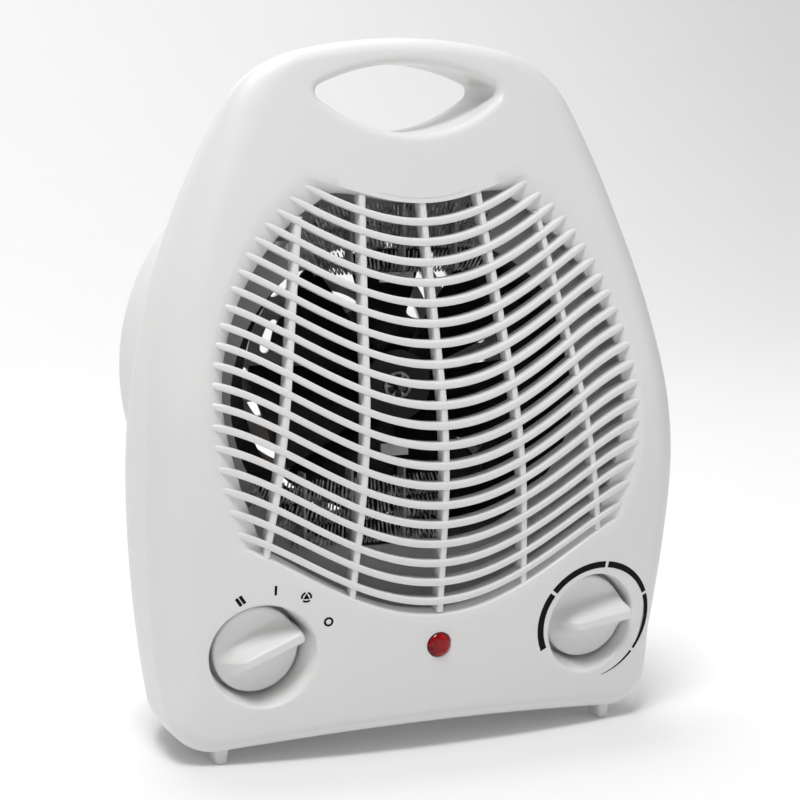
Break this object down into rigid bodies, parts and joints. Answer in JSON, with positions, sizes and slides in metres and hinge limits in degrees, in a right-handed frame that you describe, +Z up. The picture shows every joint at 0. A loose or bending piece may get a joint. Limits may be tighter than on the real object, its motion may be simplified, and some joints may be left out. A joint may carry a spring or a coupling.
{
  "type": "portable fan heater",
  "caption": "Upright portable fan heater with a barred outlet grille, carrying hole, two turning knobs and an axial fan behind coiled heating wire.",
  "frame": {"origin": "middle of the footprint, on the floor under the feet", "axes": "+X to the right seen from the front, +Y to the back (the grille faces -Y), +Z up"},
  "size_m": [0.202, 0.1238, 0.2513],
  "materials": {
    "casing_white": "satin moulded plastic",
    "duct_grey": "matte heat-resistant moulding",
    "steel_plate": "pressed and zinc plated",
    "core_iron": "stacked laminations",
    "nylon": "natural nylon",
    "copper_wire": "enamelled copper",
    "bronze": "sintered or stamped, dull",
    "fan_black": "matte moulding",
    "bright_steel": "plated",
    "resistance_wire": "bare drawn wire, slightly oxidised",
    "mica": "pressed mica board",
    "lens_red": "clear red moulding",
    "neon_glass": "clear glass",
    "cord_rubber": "soft moulded rubber"
  },
  "bodies": {
    "housing": {"front_casing": "casing_white", "rear_casing": "casing_white", "air_duct": "duct_grey", "motor_bracket": "steel_plate", "stator_core": "core_iron", "bobbin": "nylon", "motor_winding": "copper_wire", "front_bearing_bridge": "steel_plate", "rear_bearing_bridge": "steel_plate", "front_bearing": "bronze", "rear_bearing": "bronze", "heating_coil_upper": "resistance_wire", "heating_coil_lower": "resistance_wire", "mica_fins_upper": "mica", "mica_fins_lower": "mica", "coil_terminals": "bright_steel", "thermal_cutout": "bright_steel", "thermal_fuse": "bright_steel", "function_switch": "nylon", "function_switch_tabs": "bronze", "thermostat": "nylon", "thermostat_tabs": "bronze", "lamp_lens": "lens_red", "neon_lamp": "neon_glass", "terminal_block": "nylon", "cord_gland": "cord_rubber", "cord_clamp": "nylon", "casing_screws": "bright_steel", "duct_screws": "bright_steel", "bracket_screws": "bright_steel", "motor_screws": "bright_steel"},
    "function_knob": {"function_knob": "casing_white", "switch_spindle": "nylon"},
    "thermostat_knob": {"thermostat_knob": "casing_white", "thermostat_spindle": "nylon"},
    "fan_rotor": {"fan_impeller": "fan_black", "motor_shaft": "bright_steel", "rotor_core": "core_iron", "fan_clip": "bright_steel"}
  },
  "joints": [
    {"name": "function_select", "type": "hinge", "parent": "housing", "child": "function_knob", "pos_m": [-0.0639, -0.0424, 0.041], "axis": [0, -0.9914, -0.1305], "range_deg": [0, 85]},
    {"name": "thermostat_set", "type": "hinge", "parent": "housing", "child": "thermostat_knob", "pos_m": [0.0639, -0.0424, 0.041], "axis": [0, -0.9914, -0.1305], "range_deg": [-68, 200]},
    {"name": "fan_spin", "type": "hinge", "parent": "housing", "child": "fan_rotor", "pos_m": [0, 0, 0.127], "axis": [0, 1, 0], "continuous": true}
  ]
}
